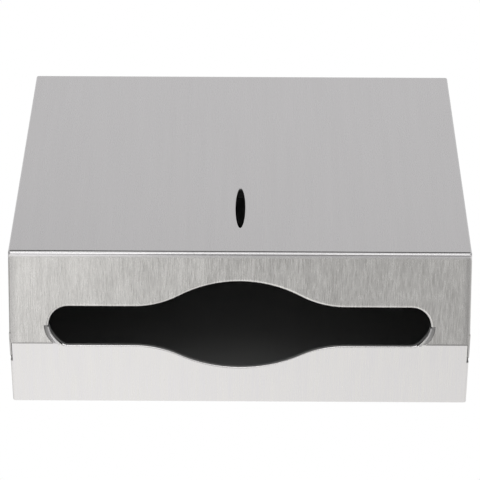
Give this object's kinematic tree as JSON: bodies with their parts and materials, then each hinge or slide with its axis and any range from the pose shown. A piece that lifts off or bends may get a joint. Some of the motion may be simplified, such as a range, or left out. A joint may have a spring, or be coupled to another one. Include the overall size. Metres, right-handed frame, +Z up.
{
  "type": "folded paper towel dispenser",
  "caption": "Wall-hung sheet steel dispenser for folded paper towels, with a hinged locking front cover and a bulged slot in its sloping underside.",
  "frame": {"origin": "middle of the four wall-fixing holes, on the outer face of the back", "axes": "+X along the width to the right as seen from the front, +Y out of the back into the wall, +Z up"},
  "size_m": [0.28, 0.0982, 0.244],
  "materials": {
    "satin_steel": "satin stainless sheet, brushed front to back",
    "plated_lock": "bright nickel-plated zinc casting",
    "zinc_plated": "zinc-plated steel, dull",
    "pin_steel": "turned stainless steel"
  },
  "bodies": {
    "wall": {"wall_body": "satin_steel", "lock_keeper": "zinc_plated", "hinge_bracket_left": "zinc_plated", "hinge_bracket_right": "zinc_plated"},
    "cover": {"front_cover": "satin_steel", "hinge_pin_left": "pin_steel", "hinge_pin_right": "pin_steel", "hinge_washer_left": "pin_steel", "hinge_washer_right": "pin_steel", "hinge_clip_left": "pin_steel", "hinge_clip_right": "pin_steel", "lock_barrel": "plated_lock", "lock_washer": "zinc_plated", "lock_nut": "zinc_plated"},
    "lock_core": {"lock_plug": "plated_lock", "lock_cam": "zinc_plated", "cam_washer": "zinc_plated", "cam_screw": "zinc_plated"}
  },
  "joints": [
    {"name": "cover_hinge", "type": "hinge", "parent": "wall", "child": "cover", "pos_m": [0, -0.0372, -0.11375], "axis": [1, 0, 0], "range_deg": [0, 90]},
    {"name": "lock_turn", "type": "hinge", "parent": "cover", "child": "lock_core", "pos_m": [0, -0.0576, 0.12025], "axis": [0, 0, -1], "range_deg": [0, 90]}
  ]
}
